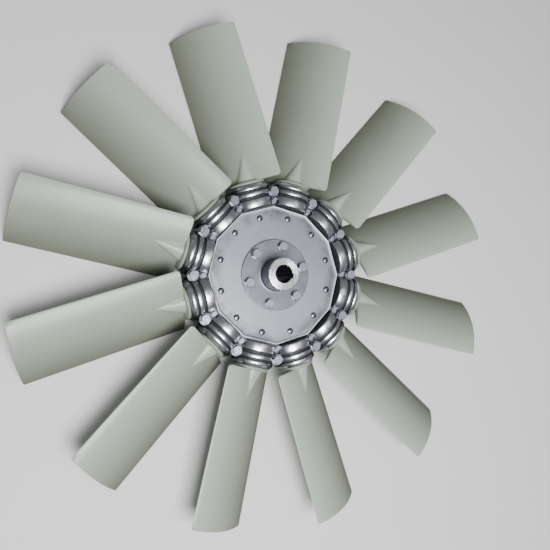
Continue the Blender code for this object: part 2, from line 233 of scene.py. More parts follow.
class StudioSettings(bpy.types.PropertyGroup):
    """The camera, lights and floor"""

    camera_place: FloatVectorProperty(
        name="Camera", description="Where the camera stands", default=(0.1959, -0.5020, 1.3963),
        unit="LENGTH",
    )
    camera_up: FloatVectorProperty(
        name="Camera up", description="The direction that is up in the picture",
        default=(-0.9658, -0.2550, 0.0463), subtype="DIRECTION",
    )
    lens: FloatProperty(name="Lens", description="Focal length", default=42.3, unit="CAMERA")
    light: FloatProperty(name="Light", description="Strength of all the lights", default=1.0, min=0.0)
    floor: colour("Floor", "Colour of the floor", (0.74, 0.74, 0.735))


# Modelling

def deselect():
    if bpy.context.mode != "OBJECT":
        bpy.ops.object.mode_set(mode="OBJECT")
    bpy.ops.object.select_all(action="DESELECT")


def take(obj):
    """Makes obj the one selected, active object."""
    deselect()
    obj.select_set(True)
    bpy.context.view_layer.objects.active = obj
    return obj


def newest(name):
    """Names the object that was just made, and its mesh."""
    obj = bpy.context.object
    obj.name = name
    obj.data.name = name
    return obj


def face_outwards(obj):
    take(obj)
    bpy.ops.object.mode_set(mode="EDIT")
    bpy.ops.mesh.select_all(action="SELECT")
    bpy.ops.mesh.normals_make_consistent(inside=False)
    bpy.ops.object.mode_set(mode="OBJECT")
    return obj


def close_up(obj):
    """Merges doubled points, drops loose ones, and turns all faces outwards."""
    take(obj)
    bpy.ops.object.mode_set(mode="EDIT")
    bpy.ops.mesh.select_all(action="SELECT")
    bpy.ops.mesh.remove_doubles(threshold=2e-6)
    bpy.ops.mesh.delete_loose()
    bpy.ops.object.mode_set(mode="OBJECT")
    return face_outwards(obj)


def in_metres(outline):
    return [(along * MM, radius * MM) for along, radius in outline]


def turned(name, outline, steps, axis="Z"):
    """Spins a closed outline of (distance along the axis, radius) about the Z or the X axis."""
    deselect()
    bpy.ops.mesh.primitive_circle_add(vertices=len(outline), radius=0.1)
    obj = newest(name)
    for vertex, (along, radius) in zip(obj.data.vertices, outline):
        vertex.co = (radius, 0, along) if axis == "Z" else (along, 0, radius)
    bpy.ops.object.mode_set(mode="EDIT")
    bpy.ops.mesh.select_all(action="SELECT")
    turn_axis = (0, 0, 1) if axis == "Z" else (1, 0, 0)
    bpy.ops.mesh.spin(steps=steps, angle=FULL_TURN, center=(0, 0, 0), axis=turn_axis)
    bpy.ops.object.mode_set(mode="OBJECT")
    return close_up(obj)


def post(name, radius, bottom, top, distance=0.0, direction=0.0, sides=32, turn=0.0):
    """An upright prism at a distance from the shaft's axis, used to add to or cut a piece."""
    deselect()
    x, y = distance * math.cos(direction), distance * math.sin(direction)
    bpy.ops.mesh.primitive_cylinder_add(
        vertices=sides, radius=radius, depth=top - bottom, location=(x, y, (top + bottom) / 2),
        rotation=(0, 0, direction + turn),
    )
    obj = newest(name)
    bpy.ops.object.transform_apply(location=True, rotation=True, scale=True)
    return obj


def combine(obj, other, operation):
    """Adds other to obj, or cuts it away, and removes it."""
    take(obj)
    bpy.ops.object.modifier_add(type="BOOLEAN")
    modifier = obj.modifiers[-1]
    modifier.operation = operation
    modifier.solver = "EXACT"
    modifier.object = other
    bpy.ops.object.modifier_apply(modifier=modifier.name)
    take(other)
    bpy.ops.object.delete()
    return take(obj)


def bevelled(obj, width, limit=40, segments=2):
    """Rounds the edges that are sharper than the limit."""
    take(obj)
    bpy.ops.object.modifier_add(type="BEVEL")
    modifier = obj.modifiers[-1]
    modifier.width = width
    modifier.segments = segments
    modifier.limit_method = "ANGLE"
    modifier.angle_limit = math.radians(limit)
    bpy.ops.object.modifier_apply(modifier=modifier.name)
    return obj


def smooth(obj, limit=35):
    take(obj)
    bpy.ops.object.shade_smooth_by_angle(angle=math.radians(limit))
    return obj


def copy_of(obj, name, turn=0.0, rear=False):
    """A copy with its own mesh, turned about the shaft's axis, or mirrored to the hub's rear."""
    take(obj)
    bpy.ops.object.duplicate()
    made = newest(name)
    if rear:
        made.data.transform(Matrix.Scale(-1, 4, Vector((0, 0, 1))))
        face_outwards(made)
    made.data.transform(Matrix.Rotation(turn, 4, "Z"))
    return made


def fit(obj, body, slot, *nodes):
    """Lifts a finished piece from the hub's middle to its place, hangs it under its body, and hides the
    frame's parts that it replaces.
    """
    take(obj)
    obj.data.transform(Matrix.Translation((0, 0, MIDDLE)))
    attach(obj, body)
    if nodes:
        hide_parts(*nodes)
    return obj


def paint(obj, *finishes):
    """Gives obj its finishes, and keeps which face has which."""
    indices = [face.material_index for face in obj.data.polygons]
    obj.data.materials.clear()
    for finish in finishes:
        obj.data.materials.append(finish)
    for face, index in zip(obj.data.polygons, indices):
        face.material_index = min(index, len(finishes) - 1)
    return obj


def mark(obj, finish_index):
    """Tells each face by its centre which finish it gets."""
    for face in obj.data.polygons:
        face.material_index = int(finish_index(face.center))
    return obj


def discard(obj):
    take(obj)
    bpy.ops.object.delete()


# Finishes

FINE_GRAIN = 0.03 * MM  # depth of the finest bump
RING_PITCH = 0.9 * MM  # between two rings left by the lathe


class Finish:
    """A Principled material whose colour, roughness and bump come from nodes on Object coordinates.

    The nylon also follows an attribute of the blades' meshes.
    """

    def __init__(self, name, metallic, **fixed):
        self.material = bpy.data.materials.new(name)
        self.material.use_nodes = True
        self.tree = self.material.node_tree
        self.shader = self.tree.nodes["Principled BSDF"]
        self.shader.inputs["Metallic"].default_value = metallic
        for socket, value in fixed.items():
            self.shader.inputs[socket.replace("_", " ")].default_value = value
        self.place = self.tree.nodes.new("ShaderNodeTexCoord").outputs["Object"]

    def node(self, kind, **values):
        made = self.tree.nodes.new(kind)
        for key, value in values.items():
            setattr(made, key, value)
        return made

    def join(self, start, end):
        self.tree.links.new(start, end)

    def noise(self, scale, detail=4.0, stretch=(1, 1, 1), roughness=0.55):
        """Noise from 0 to 1; stretch scales its coordinates along X, Y and Z."""
        mapping = self.node("ShaderNodeMapping")
        mapping.inputs["Scale"].default_value = stretch
        self.join(self.place, mapping.inputs["Vector"])
        made = self.node("ShaderNodeTexNoise")
        made.inputs["Scale"].default_value = scale
        made.inputs["Detail"].default_value = detail
        made.inputs["Roughness"].default_value = roughness
        self.join(mapping.outputs["Vector"], made.inputs["Vector"])
        return made.outputs["Fac"]

    def calculate(self, operation, *values):
        """A Math node on numbers and other nodes' outputs."""
        made = self.node("ShaderNodeMath", operation=operation)
        for value, socket in zip(values, made.inputs):
            if isinstance(value, (int, float)):
                socket.default_value = value
            else:
                self.join(value, socket)
        return made.outputs[0]

    def times(self, first, second):
        return self.calculate("MULTIPLY", first, second)

    def coordinates(self):
        """The point's X, Y and Z outputs."""
        made = self.node("ShaderNodeSeparateXYZ")
        self.join(self.place, made.inputs[0])
        return made.outputs

    def distance(self):
        """The distance from the shaft's axis, in metres."""
        point = self.coordinates()
        flat = self.node("ShaderNodeCombineXYZ")
        self.join(point["X"], flat.inputs["X"])
        self.join(point["Y"], flat.inputs["Y"])
        made = self.node("ShaderNodeVectorMath", operation="LENGTH")
        self.join(flat.outputs[0], made.inputs[0])
        return made.outputs["Value"]

    def height(self):
        """The distance from the hub's middle plane, in metres."""
        return self.calculate("ABSOLUTE", self.calculate("SUBTRACT", self.coordinates()["Z"], MIDDLE))

    def span(self, value, low, high, to_low=0.0, to_high=1.0):
        """Maps low..high to to_low..to_high, and holds it there outside."""
        made = self.node("ShaderNodeMapRange", clamp=True)
        sockets = ("From Min", "From Max", "To Min", "To Max")
        for socket, number in zip(sockets, (low, high, to_low, to_high)):
            made.inputs[socket].default_value = number
        self.join(value, made.inputs["Value"])
        return made.outputs["Result"]

    def clouds(self, scale, most=0.65):
        """Soft patches from 0 to 1."""
        return self.span(self.noise(scale, 5.0), 0.35, most)

    def mix(self, factor, first, second):
        """Mixes two colours, each a tuple or another node's output."""
        made = self.node("ShaderNodeMix", data_type="RGBA")
        self.join(factor, made.inputs["Factor"])
        for socket, given in (("A", first), ("B", second)):
            target = next(s for s in made.inputs if s.name == socket and s.type == "RGBA")
            if isinstance(given, tuple):
                target.default_value = (*given, 1)
            else:
                self.join(given, target)
        return next(s for s in made.outputs if s.type == "RGBA")

    def colour(self, output):
        self.join(output, self.shader.inputs["Base Color"])

    def roughness(self, value, low, high, least=0.3, most=0.7):
        """Roughness from low to high where the value goes from least to most."""
        self.join(self.span(value, least, most, low, high), self.shader.inputs["Roughness"])

    def bump(self, *layers):
        """Layers of (height output, depth in metres), one on another."""
        before = None
        for height, depth in layers:
            made = self.node("ShaderNodeBump")
            made.inputs["Strength"].default_value = 1.0
            made.inputs["Distance"].default_value = depth
            self.join(height, made.inputs["Height"])
            if before:
                self.join(before, made.inputs["Normal"])
            before = made.outputs["Normal"]
        self.join(before, self.shader.inputs["Normal"])


def shade(base, factor):
    return tuple(min(1.0, part * factor) for part in base)


def tinted(base, red, green, blue):
    return base[0] * red, base[1] * green, base[2] * blue


def moulded_nylon(base):
    """Pale and glossy; painted light brightens it along the leading edge and painted shade darkens and
    browns it towards the trailing edge; round the root, grime and painted shade darken it.
    """
    made = Finish("moulded_nylon", 0.0, IOR=1.4)
    across = made.node("ShaderNodeAttribute", attribute_name="across_chord").outputs["Fac"]
    # The place across the chord, made ragged; it sets the painted light and shade across the chord, and
    # the roughness
    ragged_chord = made.calculate("MULTIPLY_ADD", made.noise(7.0, 4.0), 0.16, across)
    # Painted light and shade: the leading colour is brighter than the nylon, and the trailing colour is
    # darker and browner
    leading, trailing = tinted(base, 1.20, 1.22, 1.23), tinted(base, 0.47, 0.44, 0.40)
    body = made.mix(made.span(ragged_chord, 0.10, 1.05), leading, trailing)
    specks = made.span(made.noise(420.0, 2.0), 0.62, 0.74, 0.0, 0.35)
    speckled = made.mix(specks, body, tinted(base, 0.80, 0.80, 0.74))
    # Darker and browner round the root: grime, and painted shade where the blades meet the hub
    near_root = made.span(made.distance(), 212 * MM, 262 * MM, 1.0, 0.0)
    grime_and_shade = made.times(near_root, made.span(made.noise(30.0, 5.0), 0.35, 0.7, 0.0, 0.45))
    made.colour(made.mix(grime_and_shade, speckled, tinted(base, 0.66, 0.62, 0.50)))
    made.roughness(ragged_chord, 0.24, 0.62, 0.15, 0.8)
    made.join(made.span(ragged_chord, 0.35, 0.95, 0.5, 0.0), made.shader.inputs["Specular IOR Level"])
    made.bump((made.noise(7.0, 2.0), 1.6 * MM), (made.noise(700.0, 2.0), FINE_GRAIN))
    return made.material


def cast_aluminium(base):
    """Bright on the saddles' crowns, and painted darker lower down, in the valleys between them: painted
    shade and painted dark reflection.
    """
    made = Finish("cast_aluminium", 1.0)
    clouds = made.clouds(28.0, 0.68)
    body = made.mix(clouds, tinted(base, 0.88, 0.88, 0.90), shade(base, 1.08))
    # Painted shade and dark reflection: the lower a point lies, the darker it is painted
    ragged_height = made.calculate("MULTIPLY_ADD", made.noise(60.0, 4.0), 6 * MM, made.height())
    valley_shade = made.span(ragged_height, 30 * MM, 47 * MM, 1.0, 0.0)
    valley_shaded = made.mix(valley_shade, body, tinted(base, 0.24, 0.25, 0.27))
    spots = made.span(made.noise(160.0, 4.0), 0.60, 0.75, 0.0, 0.3)
    made.colour(made.mix(spots, valley_shaded, shade(base, 0.4)))
    made.roughness(made.noise(90.0, 4.0), 0.22, 0.34)
    made.bump((made.noise(45.0, 3.0), 0.22 * MM), (made.noise(520.0, 3.0), FINE_GRAIN))
    return made.material


def groove_grime_and_shade(base):
    """The dark, dull finish in the grooves between the saddles' bands: grime, and painted shade."""
    made = Finish("groove_grime_and_shade", 0.6)
    made.colour(made.mix(made.noise(150.0, 4.0), shade(base, 0.6), shade(base, 1.5)))
    made.roughness(made.noise(90.0, 4.0), 0.5, 0.7)
    made.bump((made.noise(300.0, 3.0), 0.1 * MM))
    return made.material


def plate_aluminium(base):
    """Matt and cloudy, and darker in patches along the plates' edges."""
    made = Finish("plate_aluminium", 1.0)
    body = made.mix(made.clouds(9.0), tinted(base, 0.92, 0.93, 0.95), tinted(base, 1.06, 1.05, 1.04))
    # Darker in patches near the rim
    by_the_rim = made.span(made.distance(), 116 * MM, 140 * MM)
    rim_darkening = made.times(by_the_rim, made.span(made.noise(24.0, 3.0), 0.40, 0.60, 0.1, 0.9))
    rim_darkened = made.mix(rim_darkening, body, shade(base, 0.45))
    spots = made.span(made.noise(240.0, 3.0), 0.6, 0.75, 0.0, 0.3)
    made.colour(made.mix(spots, rim_darkened, shade(base, 0.7)))
    made.roughness(made.noise(70.0, 4.0), 0.40, 0.54)
    made.bump((made.noise(600.0, 3.0), FINE_GRAIN))
    return made.material


def highlit_rim(base):
    """The face plates' rim, painted bright in cloudy patches: a painted highlight."""
    made = Finish("highlit_rim", 0.35)
    made.colour(made.mix(made.clouds(50.0), shade(base, 0.8), shade(base, 1.05)))
    made.roughness(made.noise(120.0, 4.0), 0.3, 0.45)
    made.bump((made.noise(500.0, 3.0), FINE_GRAIN))
    return made.material


def turned_steel(name, base, low, high, ring_depth=0.0):
    """Steel from the lathe; where it is bright, fine rings about the shaft's axis show."""
    made = Finish(name, 1.0)
    made.colour(made.mix(made.clouds(40.0), shade(base, 0.86), shade(base, 1.08)))
    made.roughness(made.noise(120.0, 4.0), low, high)
    layers = [(made.noise(400.0, 3.0), FINE_GRAIN)]
    if ring_depth:
        rings = made.calculate("SINE", made.times(made.distance(), FULL_TURN / RING_PITCH))
        layers.insert(0, (rings, ring_depth))
    made.bump(*layers)
    return made.material


def zinc_plate(name, base):
    made = Finish(name, 1.0)
    made.colour(made.mix(made.clouds(130.0), tinted(base, 0.86, 0.86, 0.92), shade(base, 1.1)))
    made.roughness(made.noise(200.0, 4.0), 0.22, 0.36)
    made.bump((made.noise(300.0, 3.0), 0.05 * MM))
    return made.material


# Blades

def between(root, tip, part):
    return root + (tip - root) * part


def corner_loss(across, chord, radius):
    """How far a rounded leading corner cuts into the span."""
    reach = across * chord / radius
    return 0.0 if reach >= 1 else radius * (1 - math.sqrt(1 - (1 - reach) ** 2))


def higher(first, second, fillet):
    """The higher of two heights, with a fillet where they meet."""
    gap = abs(first - second)
    extra = (fillet - gap) ** 2 / (4 * fillet) if gap < fillet else 0.0
    return max(first, second) + extra


class BladeShape:
    """Gives the points of a blade that lies along +X, with its pitch axis on the X axis."""

    def __init__(self, sizes):
        self.sizes = sizes

    def spine(self, x, offset):
        """The upper and lower height, at a point of the chord, of the cone that carries the shank on."""
        sizes = self.sizes
        part = max((x - sizes.spine_start) / (sizes.spine_end - sizes.spine_start), 0)
        radius = sizes.spine_radius * (1 - part)
        rise = between(sizes.spine_lift, sizes.spine_rise, part)
        across = offset + rise * math.sin(sizes.root_angle)
        middle = rise * math.cos(sizes.root_angle)
        half = math.sqrt(max(radius**2 - across**2, 0)) - SPINE_FALL * max(abs(across) - radius, 0)
        return middle + half, middle - half

    def skin(self, across, side, part):
        """Height of the plain section over the chord line; side is 1 above and -1 below."""
        sizes = self.sizes
        thickness = between(sizes.root_thickness, sizes.tip_thickness, part)
        fullness = SECTION_SCALE * math.sqrt(across) * (1 - across) ** TAIL_POWER
        camber = 4 * sizes.camber * across * (1 - across)
        return camber + side * (thickness / 2 * fullness + sizes.trailing_edge / 2 * across)

    def lift(self, across, side, part, x):
        """Height of the surface, with the spine, over the chord line."""
        sizes = self.sizes
        skin = self.skin(across, side, part)
        offset = (across - self.axis(part)) * self.chord(part)
        if x >= sizes.spine_end:
            return skin
        upper, lower = self.spine(x, offset)
        if side > 0:
            return higher(skin, upper, sizes.spine_fillet)
        return -higher(-skin, -lower, sizes.spine_fillet)

    def chord(self, part):
        return between(self.sizes.root_chord, self.sizes.tip_chord, part)

    def axis(self, part):
        return between(self.sizes.root_axis, self.sizes.tip_axis, part)

    def turn(self, part, distance, lift):
        slope = between(self.sizes.root_angle, self.sizes.tip_angle, part)
        y = distance * math.cos(slope) + lift * math.sin(slope)
        z = -distance * math.sin(slope) + lift * math.cos(slope)
        return y, z

    def ends(self, across):
        """Where the blade starts and ends over a point of the chord."""
        sizes = self.sizes
        tip_y, _ = self.turn(1, (across - sizes.tip_axis) * sizes.tip_chord, 0)
        start = sizes.root_start + corner_loss(across, sizes.root_chord, sizes.root_corner)
        end = math.sqrt(sizes.tip_radius**2 - tip_y**2)
        return start, end - corner_loss(across, sizes.tip_chord, sizes.tip_corner)

    def point(self, across, side, part, flatten=0.0, shrink=0.0):
        """flatten draws a point to the section's middle line, and shrink moves it along the span."""
        start, end = self.ends(across)
        x = between(start, end, part) + shrink
        upper, lower = self.lift(across, 1, part, x), self.lift(across, -1, part, x)
        lift = between(upper if side > 0 else lower, (upper + lower) / 2, flatten)
        y, z = self.turn(part, (across - self.axis(part)) * self.chord(part), lift)
        return x, y, z

    def section(self, part, flatten=0.0, shrink=0.0):
        around = [(s, 1) for s in CHORD_SHARES] + [(s, -1) for s in reversed(CHORD_SHARES[1:])]
        return [self.point(across, side, part, flatten, shrink) for across, side in around]


def skinned(name, sections):
    """A closed skin through sections of the same number of points: a grid rolled up round them."""
    around = len(sections[0])
    deselect()
    bpy.ops.mesh.primitive_grid_add(x_subdivisions=around, y_subdivisions=len(sections) - 1, size=1)
    obj = newest(name)
    for vertex in obj.data.vertices:
        column = round((vertex.co.x + 0.5) * around) % around
        row = round((vertex.co.y + 0.5) * (len(sections) - 1))
        vertex.co = sections[row][column]
    return close_up(obj)


def blade_parts(sizes):
    """Shares of the span for the sections between root and tip."""
    reach = sizes.tip_radius - sizes.root_start
    near = [SPINE_SECTION_STEP * i / reach for i in range(1, SPINE_SECTIONS + 1)]
    outer = [near[-1] + (1 - near[-1]) * i / (OUTER_SECTIONS + 1) for i in range(1, OUTER_SECTIONS + 1)]
    return near + outer


def note_chord(obj, shape):
    """Keeps each point's place across the chord, which the nylon's painted light and shade follow; on the
    spines it moves past the leading edge, which paints a highlight on them.
    """
    sizes = shape.sizes
    across = obj.data.attributes.new("across_chord", "FLOAT", "POINT")
    for vertex, value in zip(obj.data.vertices, across.data):
        x, y, z = vertex.co
        part = min(max((x - sizes.root_start) / (sizes.tip_radius - sizes.root_start), 0), 1)
        slope = between(sizes.root_angle, sizes.tip_angle, part)
        distance = y * math.cos(slope) - z * math.sin(slope)
        chord_share = min(max(distance / shape.chord(part) + shape.axis(part), 0), 1)
        above = y * math.sin(slope) + z * math.cos(slope) - shape.skin(chord_share, 1, part)
        # On the spines the place moves past the leading edge: a painted highlight
        spine_lit = min(max(above / LIT_SPINE_HEIGHT, 0), 1) if x > sizes.spine_start else 0
        value.value = between(chord_share, LIT_SPINE_SHARE, spine_lit)


def model_blade(sizes):
    """A blade along +X: rounded root and tip sections closed to their middle lines, and the shank."""
    shape = BladeShape(sizes)
    sections = [shape.section(0, 1.0), shape.section(0, 0.35), shape.section(0, 0.0, 1.2 * MM)]
    sections += [shape.section(part) for part in blade_parts(sizes)]
    sections += [shape.section(1, 0.0, -1.0 * MM), shape.section(1, 0.3, -0.3 * MM), shape.section(1, 1.0)]
    obj = skinned("blade", sections)
    combine(obj, turned("shank", in_metres(SHANK), 64, "X"), "UNION")
    note_chord(obj, shape)
    return obj


# Hub halves

def add_seats(made, sizes, direction):
    """Adds the pads of a large and a small bolt, and cuts the saddles clear over them."""
    seats = ((RIM_CIRCLE, sizes.boss_radius, 40), (INNER_CIRCLE, sizes.inner_boss, 28))
    for circle, radius, sides in seats:
        combine(made, post("pad", radius, -SEAT_TOP, SEAT_TOP + MM, circle, direction, sides), "UNION")
    for circle, radius, sides in seats:
        cutter = post("seat", radius + 0.5 * MM, SEAT_TOP, FAR, circle, direction, sides)
        combine(made, cutter, "DIFFERENCE")


def hub_slice(sizes):
    """One blade's share of the front casting: web, ring, banded saddle, bolt pads and socket."""
    bottom, top = sizes.web_bottom, sizes.web_top
    ring = [
        (bottom, WEB_HOLE), (top, WEB_HOLE), (top, RING_OUTER - MM), (top - MM, RING_OUTER),
        (-bottom, RING_OUTER), (-bottom, RING_INNER), (bottom, RING_INNER),
    ]
    made = turned("hub_slice", ring, 8 * BLADES)
    combine(made, turned("saddle", in_metres(SADDLE), sizes.round_steps, "X"), "UNION")
    for side in (1, -1):
        add_seats(made, sizes, side * STEP / 2)
    combine(made, turned("socket", in_metres(SOCKET), 64, "X"), "DIFFERENCE")
    return combine(made, post("rear_half", 5 * FAR, -2 * FAR, SPLIT, sides=8), "DIFFERENCE")


def keep_slice(obj):
    """Cuts a slice along the two planes half-way to the neighbouring blades."""
    take(obj)
    bpy.ops.object.mode_set(mode="EDIT")
    for side in (1, -1):
        normal = (-math.sin(STEP / 2), side * math.cos(STEP / 2), 0)
        bpy.ops.mesh.select_all(action="SELECT")
        bpy.ops.mesh.bisect(plane_co=(0, 0, 0), plane_no=normal, clear_outer=True, threshold=1e-7)
    bpy.ops.object.mode_set(mode="OBJECT")
    return obj


def in_groove(centre):
    """Whether a face of the hub half lies in a groove, or on a saddle's inner end by the face plate."""
    heading = math.atan2(centre.y, centre.x)
    aside = heading - STEP * round(heading / STEP)
    distance = math.hypot(centre.x, centre.y) / MM
    along, across, height = distance * math.cos(aside), distance * math.sin(aside), centre.z / MM
    start, end, foot = SADDLE_END
    if start < along < end and height > foot:
        return True
    radius = math.hypot(across, height)
    return any(start < along < end and low < radius < high for start, end, low, high in GROOVES)


def model_hub_half(sizes):
    """The front casting: one blade's share, spun round the shaft's axis and joined up."""
    made = keep_slice(hub_slice(sizes))
    bpy.ops.object.mode_set(mode="EDIT")
    bpy.ops.mesh.select_all(action="SELECT")
    bpy.ops.mesh.spin(
        steps=BLADES - 1, dupli=True, angle=FULL_TURN - STEP, center=(0, 0, 0), axis=(0, 0, 1)
    )
    bpy.ops.object.mode_set(mode="OBJECT")
    return smooth(close_up(made), 32)


# Face plates and bushing

def edit_upward_faces(obj):
    """Goes into edit mode with the faces that point up selected."""
    bpy.ops.object.mode_set(mode="EDIT")
    bpy.ops.mesh.select_mode(type="FACE")
    bpy.ops.mesh.select_all(action="DESELECT")
    bpy.ops.object.mode_set(mode="OBJECT")
    for face in obj.data.polygons:
        face.select = face.normal.z > 0.9
    bpy.ops.object.mode_set(mode="EDIT")


def model_plate(sizes):
    """A twelve-sided plate with a raised rim and a round hole for the bushing."""
    top = PLATE_TOP + sizes.lip_height
    made = post("plate", PLATE_CORNER, PLATE_BOTTOM, top, sides=BLADES, turn=STEP / 2)
    edit_upward_faces(made)
    bpy.ops.mesh.inset(thickness=sizes.lip_width * RIM_FLAT, depth=0)
    bpy.ops.mesh.inset(thickness=sizes.lip_width * (1 - RIM_FLAT), depth=-sizes.lip_height)
    bpy.ops.mesh.inset(thickness=4 * MM, depth=0)
    bpy.ops.object.mode_set(mode="OBJECT")
    bevelled(made, 0.5 * MM, 12)
    combine(made, post("hole", WEB_HOLE, 0, FAR, sides=64), "DIFFERENCE")
    return smooth(made, 25)


def model_bushing():
    """The flanged sleeve: a flange on the front plate, the turned boss, and the keyed bore."""
    outline = [
        (BUSHING_REAR, BORE + 1 * MM), (BUSHING_REAR, BOSS - 1 * MM), (BUSHING_REAR + 1 * MM, BOSS),
        (PLATE_TOP + GAP, BOSS), (PLATE_TOP + GAP, FLANGE - 0.6 * MM),
        (PLATE_TOP + 0.9 * MM, FLANGE), (FLANGE_TOP - 1 * MM, FLANGE),
        (FLANGE_TOP - 0.3 * MM, FLANGE - 0.3 * MM), (FLANGE_TOP, FLANGE - 1 * MM),
        (FLANGE_TOP, FLANGE - 1.8 * MM), (FLANGE_TOP, BOSS + 4 * MM), (FLANGE_TOP, BOSS + 3 * MM),
        (FLANGE_TOP + 0.9 * MM, BOSS + 0.9 * MM), (FLANGE_TOP + 3 * MM, BOSS),
        (FLANGE_TOP + 4 * MM, BOSS), (BUSHING_TOP - 3 * MM, BOSS), (BUSHING_TOP - 2 * MM, BOSS),
        (BUSHING_TOP - 0.6 * MM, BOSS - 0.5 * MM), (BUSHING_TOP, BOSS - 1.8 * MM),
        (BUSHING_TOP, BOSS - 2.6 * MM), (BUSHING_TOP, BORE + 1.4 * MM),
        (BUSHING_TOP - 1.4 * MM, BORE), (BUSHING_REAR + 1 * MM, BORE),
    ]
    made = turned("bushing_detail", outline, 128)
    deselect()
    bpy.ops.mesh.primitive_cube_add(
        size=1, location=(0, KEY_TOP / 2, 0.3 * FAR), scale=(KEY_WIDTH, KEY_TOP, 2 * FAR)
    )
    key = newest("keyway")
    bpy.ops.object.transform_apply(location=True, rotation=True, scale=True)
    combine(made, key, "DIFFERENCE")
    return smooth(made, 30)


def bushing_finish(centre):
    """0 for the flange, 1 for the boss's bright face, 2 for its side and the bore, which get darker steel
    with painted shade.
    """
    distance = math.hypot(centre.x, centre.y)
    if centre.z > BUSHING_TOP - 1.9 * MM and distance > BORE + 2 * SLACK:
        return 1
    return 2 if distance < BOSS + SLACK else 0


# Bolts and screws

def model_head(name, seat, width, height, washer_radius, washer_height, sides=6):
    """A chamfered hexagon head on its washer."""
    corner = width / math.sqrt(3)
    top = seat + washer_height + height
    head = post(name, corner, seat + washer_height * 0.5, top, sides=sides)
    cap = [
        (seat - MM, 0), (seat - MM, 2 * corner), (top - (corner - width / 2) * 0.95, corner * 1.02),
        (top, width / 2 * 0.97), (top, 0),
    ]
    combine(head, turned("cap", cap, 48), "INTERSECT")
    rim = 0.25 * MM
    washer = [
        (seat, 0), (seat, washer_radius - rim), (seat + rim, washer_radius),
        (seat + washer_height - rim, washer_radius), (seat + washer_height, washer_radius - rim),
        (seat + washer_height, 0),
    ]
    return combine(head, turned("washer", washer, 48), "UNION")


def through_bolt(name, seat, far_seat, thread, width, height, washer_radius, washer_height):
    """A bolt on the shaft's axis, its head in front and its nut behind; washers and stem are duller and
    darker, as painted shade round the heads.
    """
    made = model_head(name, seat, width, height, washer_radius, washer_height)
    nut = copy_of(made, "nut")
    nut.data.transform(Matrix.Translation((0, 0, -seat)))
    nut.data.transform(Matrix.Rotation(math.pi, 4, "X"))
    nut.data.transform(Matrix.Translation((0, 0, far_seat)))
    end, bevel = far_seat - washer_height - height - THREAD_END, 0.8 * MM
    stem = [(end, 0), (end, thread - bevel), (end + bevel, thread), (seat + MM, thread), (seat + MM, 0)]
    combine(made, turned("rod", stem, 32), "UNION")
    combine(made, nut, "UNION")
    low, high = far_seat - washer_height - SLACK, seat + washer_height + SLACK
    # Washers and stem get the darker zinc: painted shade round the heads
    mark(made, lambda centre: low < centre.z < high)
    return smooth(made, 30)


def model_screw(radius, height):
    """A domed head with a hexagon socket, standing on the face plate."""
    dome = [(height * math.sin(turn), radius * math.cos(turn)) for turn in (0.25, 0.5, 0.75, 1.0, 1.25)]
    outline = [(PLATE_TOP - 2 * MM, 0), (PLATE_TOP - 2 * MM, radius * 0.5), (PLATE_TOP, radius * 0.5)]
    outline += [(PLATE_TOP, radius * 0.96), (PLATE_TOP + 0.3 * MM, radius)]
    outline += [(PLATE_TOP + 0.3 * MM + rise, reach) for rise, reach in dome]
    outline += [(PLATE_TOP + 0.3 * MM + height, 0)]
    made = turned("screw", outline, 32)
    socket = post("socket", SCREW_SOCKET, PLATE_TOP + SCREW_SOCKET_FLOOR, FAR, sides=6)
    return smooth(combine(made, socket, "DIFFERENCE"), 30)


def spread(source, prefix, count, circle, first, finishes, replace=False, rear=False):
    """Copies a fastener round the shaft's axis, each with its own mesh and tightened to its own turn."""
    for i in range(count):
        name = f"{prefix}_{i + 1:02d}" if count > 9 else f"{prefix}_{i + 1}"
        tightened = TIGHTENED_STEP * (i * i % 11)
        made = copy_of(source, name + "_detail", rear=rear)
        made.data.transform(Matrix.Rotation(tightened, 4, "Z"))
        made.data.transform(Matrix.Translation((circle, 0, 0)))
        made.data.transform(Matrix.Rotation(first + FULL_TURN * i / count, 4, "Z"))
        paint(made, *finishes)
        fit(made, "hub", "zinc_steel", *([name] if replace else []))
    discard(source)


# Operators

class IMPELLER_OT_blades(bpy.types.Operator):
    """Models one blade with its shank and spine, and copies it round the hub"""

    bl_idname = "impeller.blades"
    bl_label = "Blades"

    def execute(self, context):
        sizes = context.scene.impeller_blade
        source = smooth(model_blade(sizes), 40)
        finish = moulded_nylon(sizes.nylon)
        for i in range(BLADES):
            name = f"blade_{i + 1:02d}"
            made = paint(copy_of(source, name + "_detail", STEP * i), finish)
            fit(made, name, "moulded_nylon", name)
        discard(source)
        return {"FINISHED"}


class IMPELLER_OT_hub_halves(bpy.types.Operator):
    """Models the front casting from one welded slice, and mirrors it to the rear"""

    bl_idname = "impeller.hub_halves"
    bl_label = "Hub halves"

    def execute(self, context):
        sizes = context.scene.impeller_hub
        # Faces in the grooves and on the saddles' inner ends get the near-black finish: painted shade,
        # with grime
        source = mark(model_hub_half(sizes), in_groove)
        finishes = cast_aluminium(sizes.aluminium), groove_grime_and_shade(sizes.grime_and_shade)
        for name, rear in (("hub_front", False), ("hub_rear", True)):
            made = paint(copy_of(source, name + "_detail", rear=rear), *finishes)
            fit(made, "hub", "cast_aluminium", name)
        discard(source)
        return {"FINISHED"}


class IMPELLER_OT_face_plates(bpy.types.Operator):
    """Models the twelve-sided plate of each hub face"""

    bl_idname = "impeller.face_plates"
    bl_label = "Face plates"

    def execute(self, context):
        sizes = context.scene.impeller_hub
        # The rim's faces get the bright finish, a painted highlight
        source = mark(model_plate(sizes), lambda centre: centre.z > RIM_FOOT)
        finishes = plate_aluminium(sizes.plate), highlit_rim(sizes.lip)
        for name, rear in (("plate_front", False), ("plate_rear", True)):
            made = paint(copy_of(source, name + "_detail", rear=rear), *finishes)
            fit(made, "hub", "plate_aluminium", name)
        discard(source)
        return {"FINISHED"}


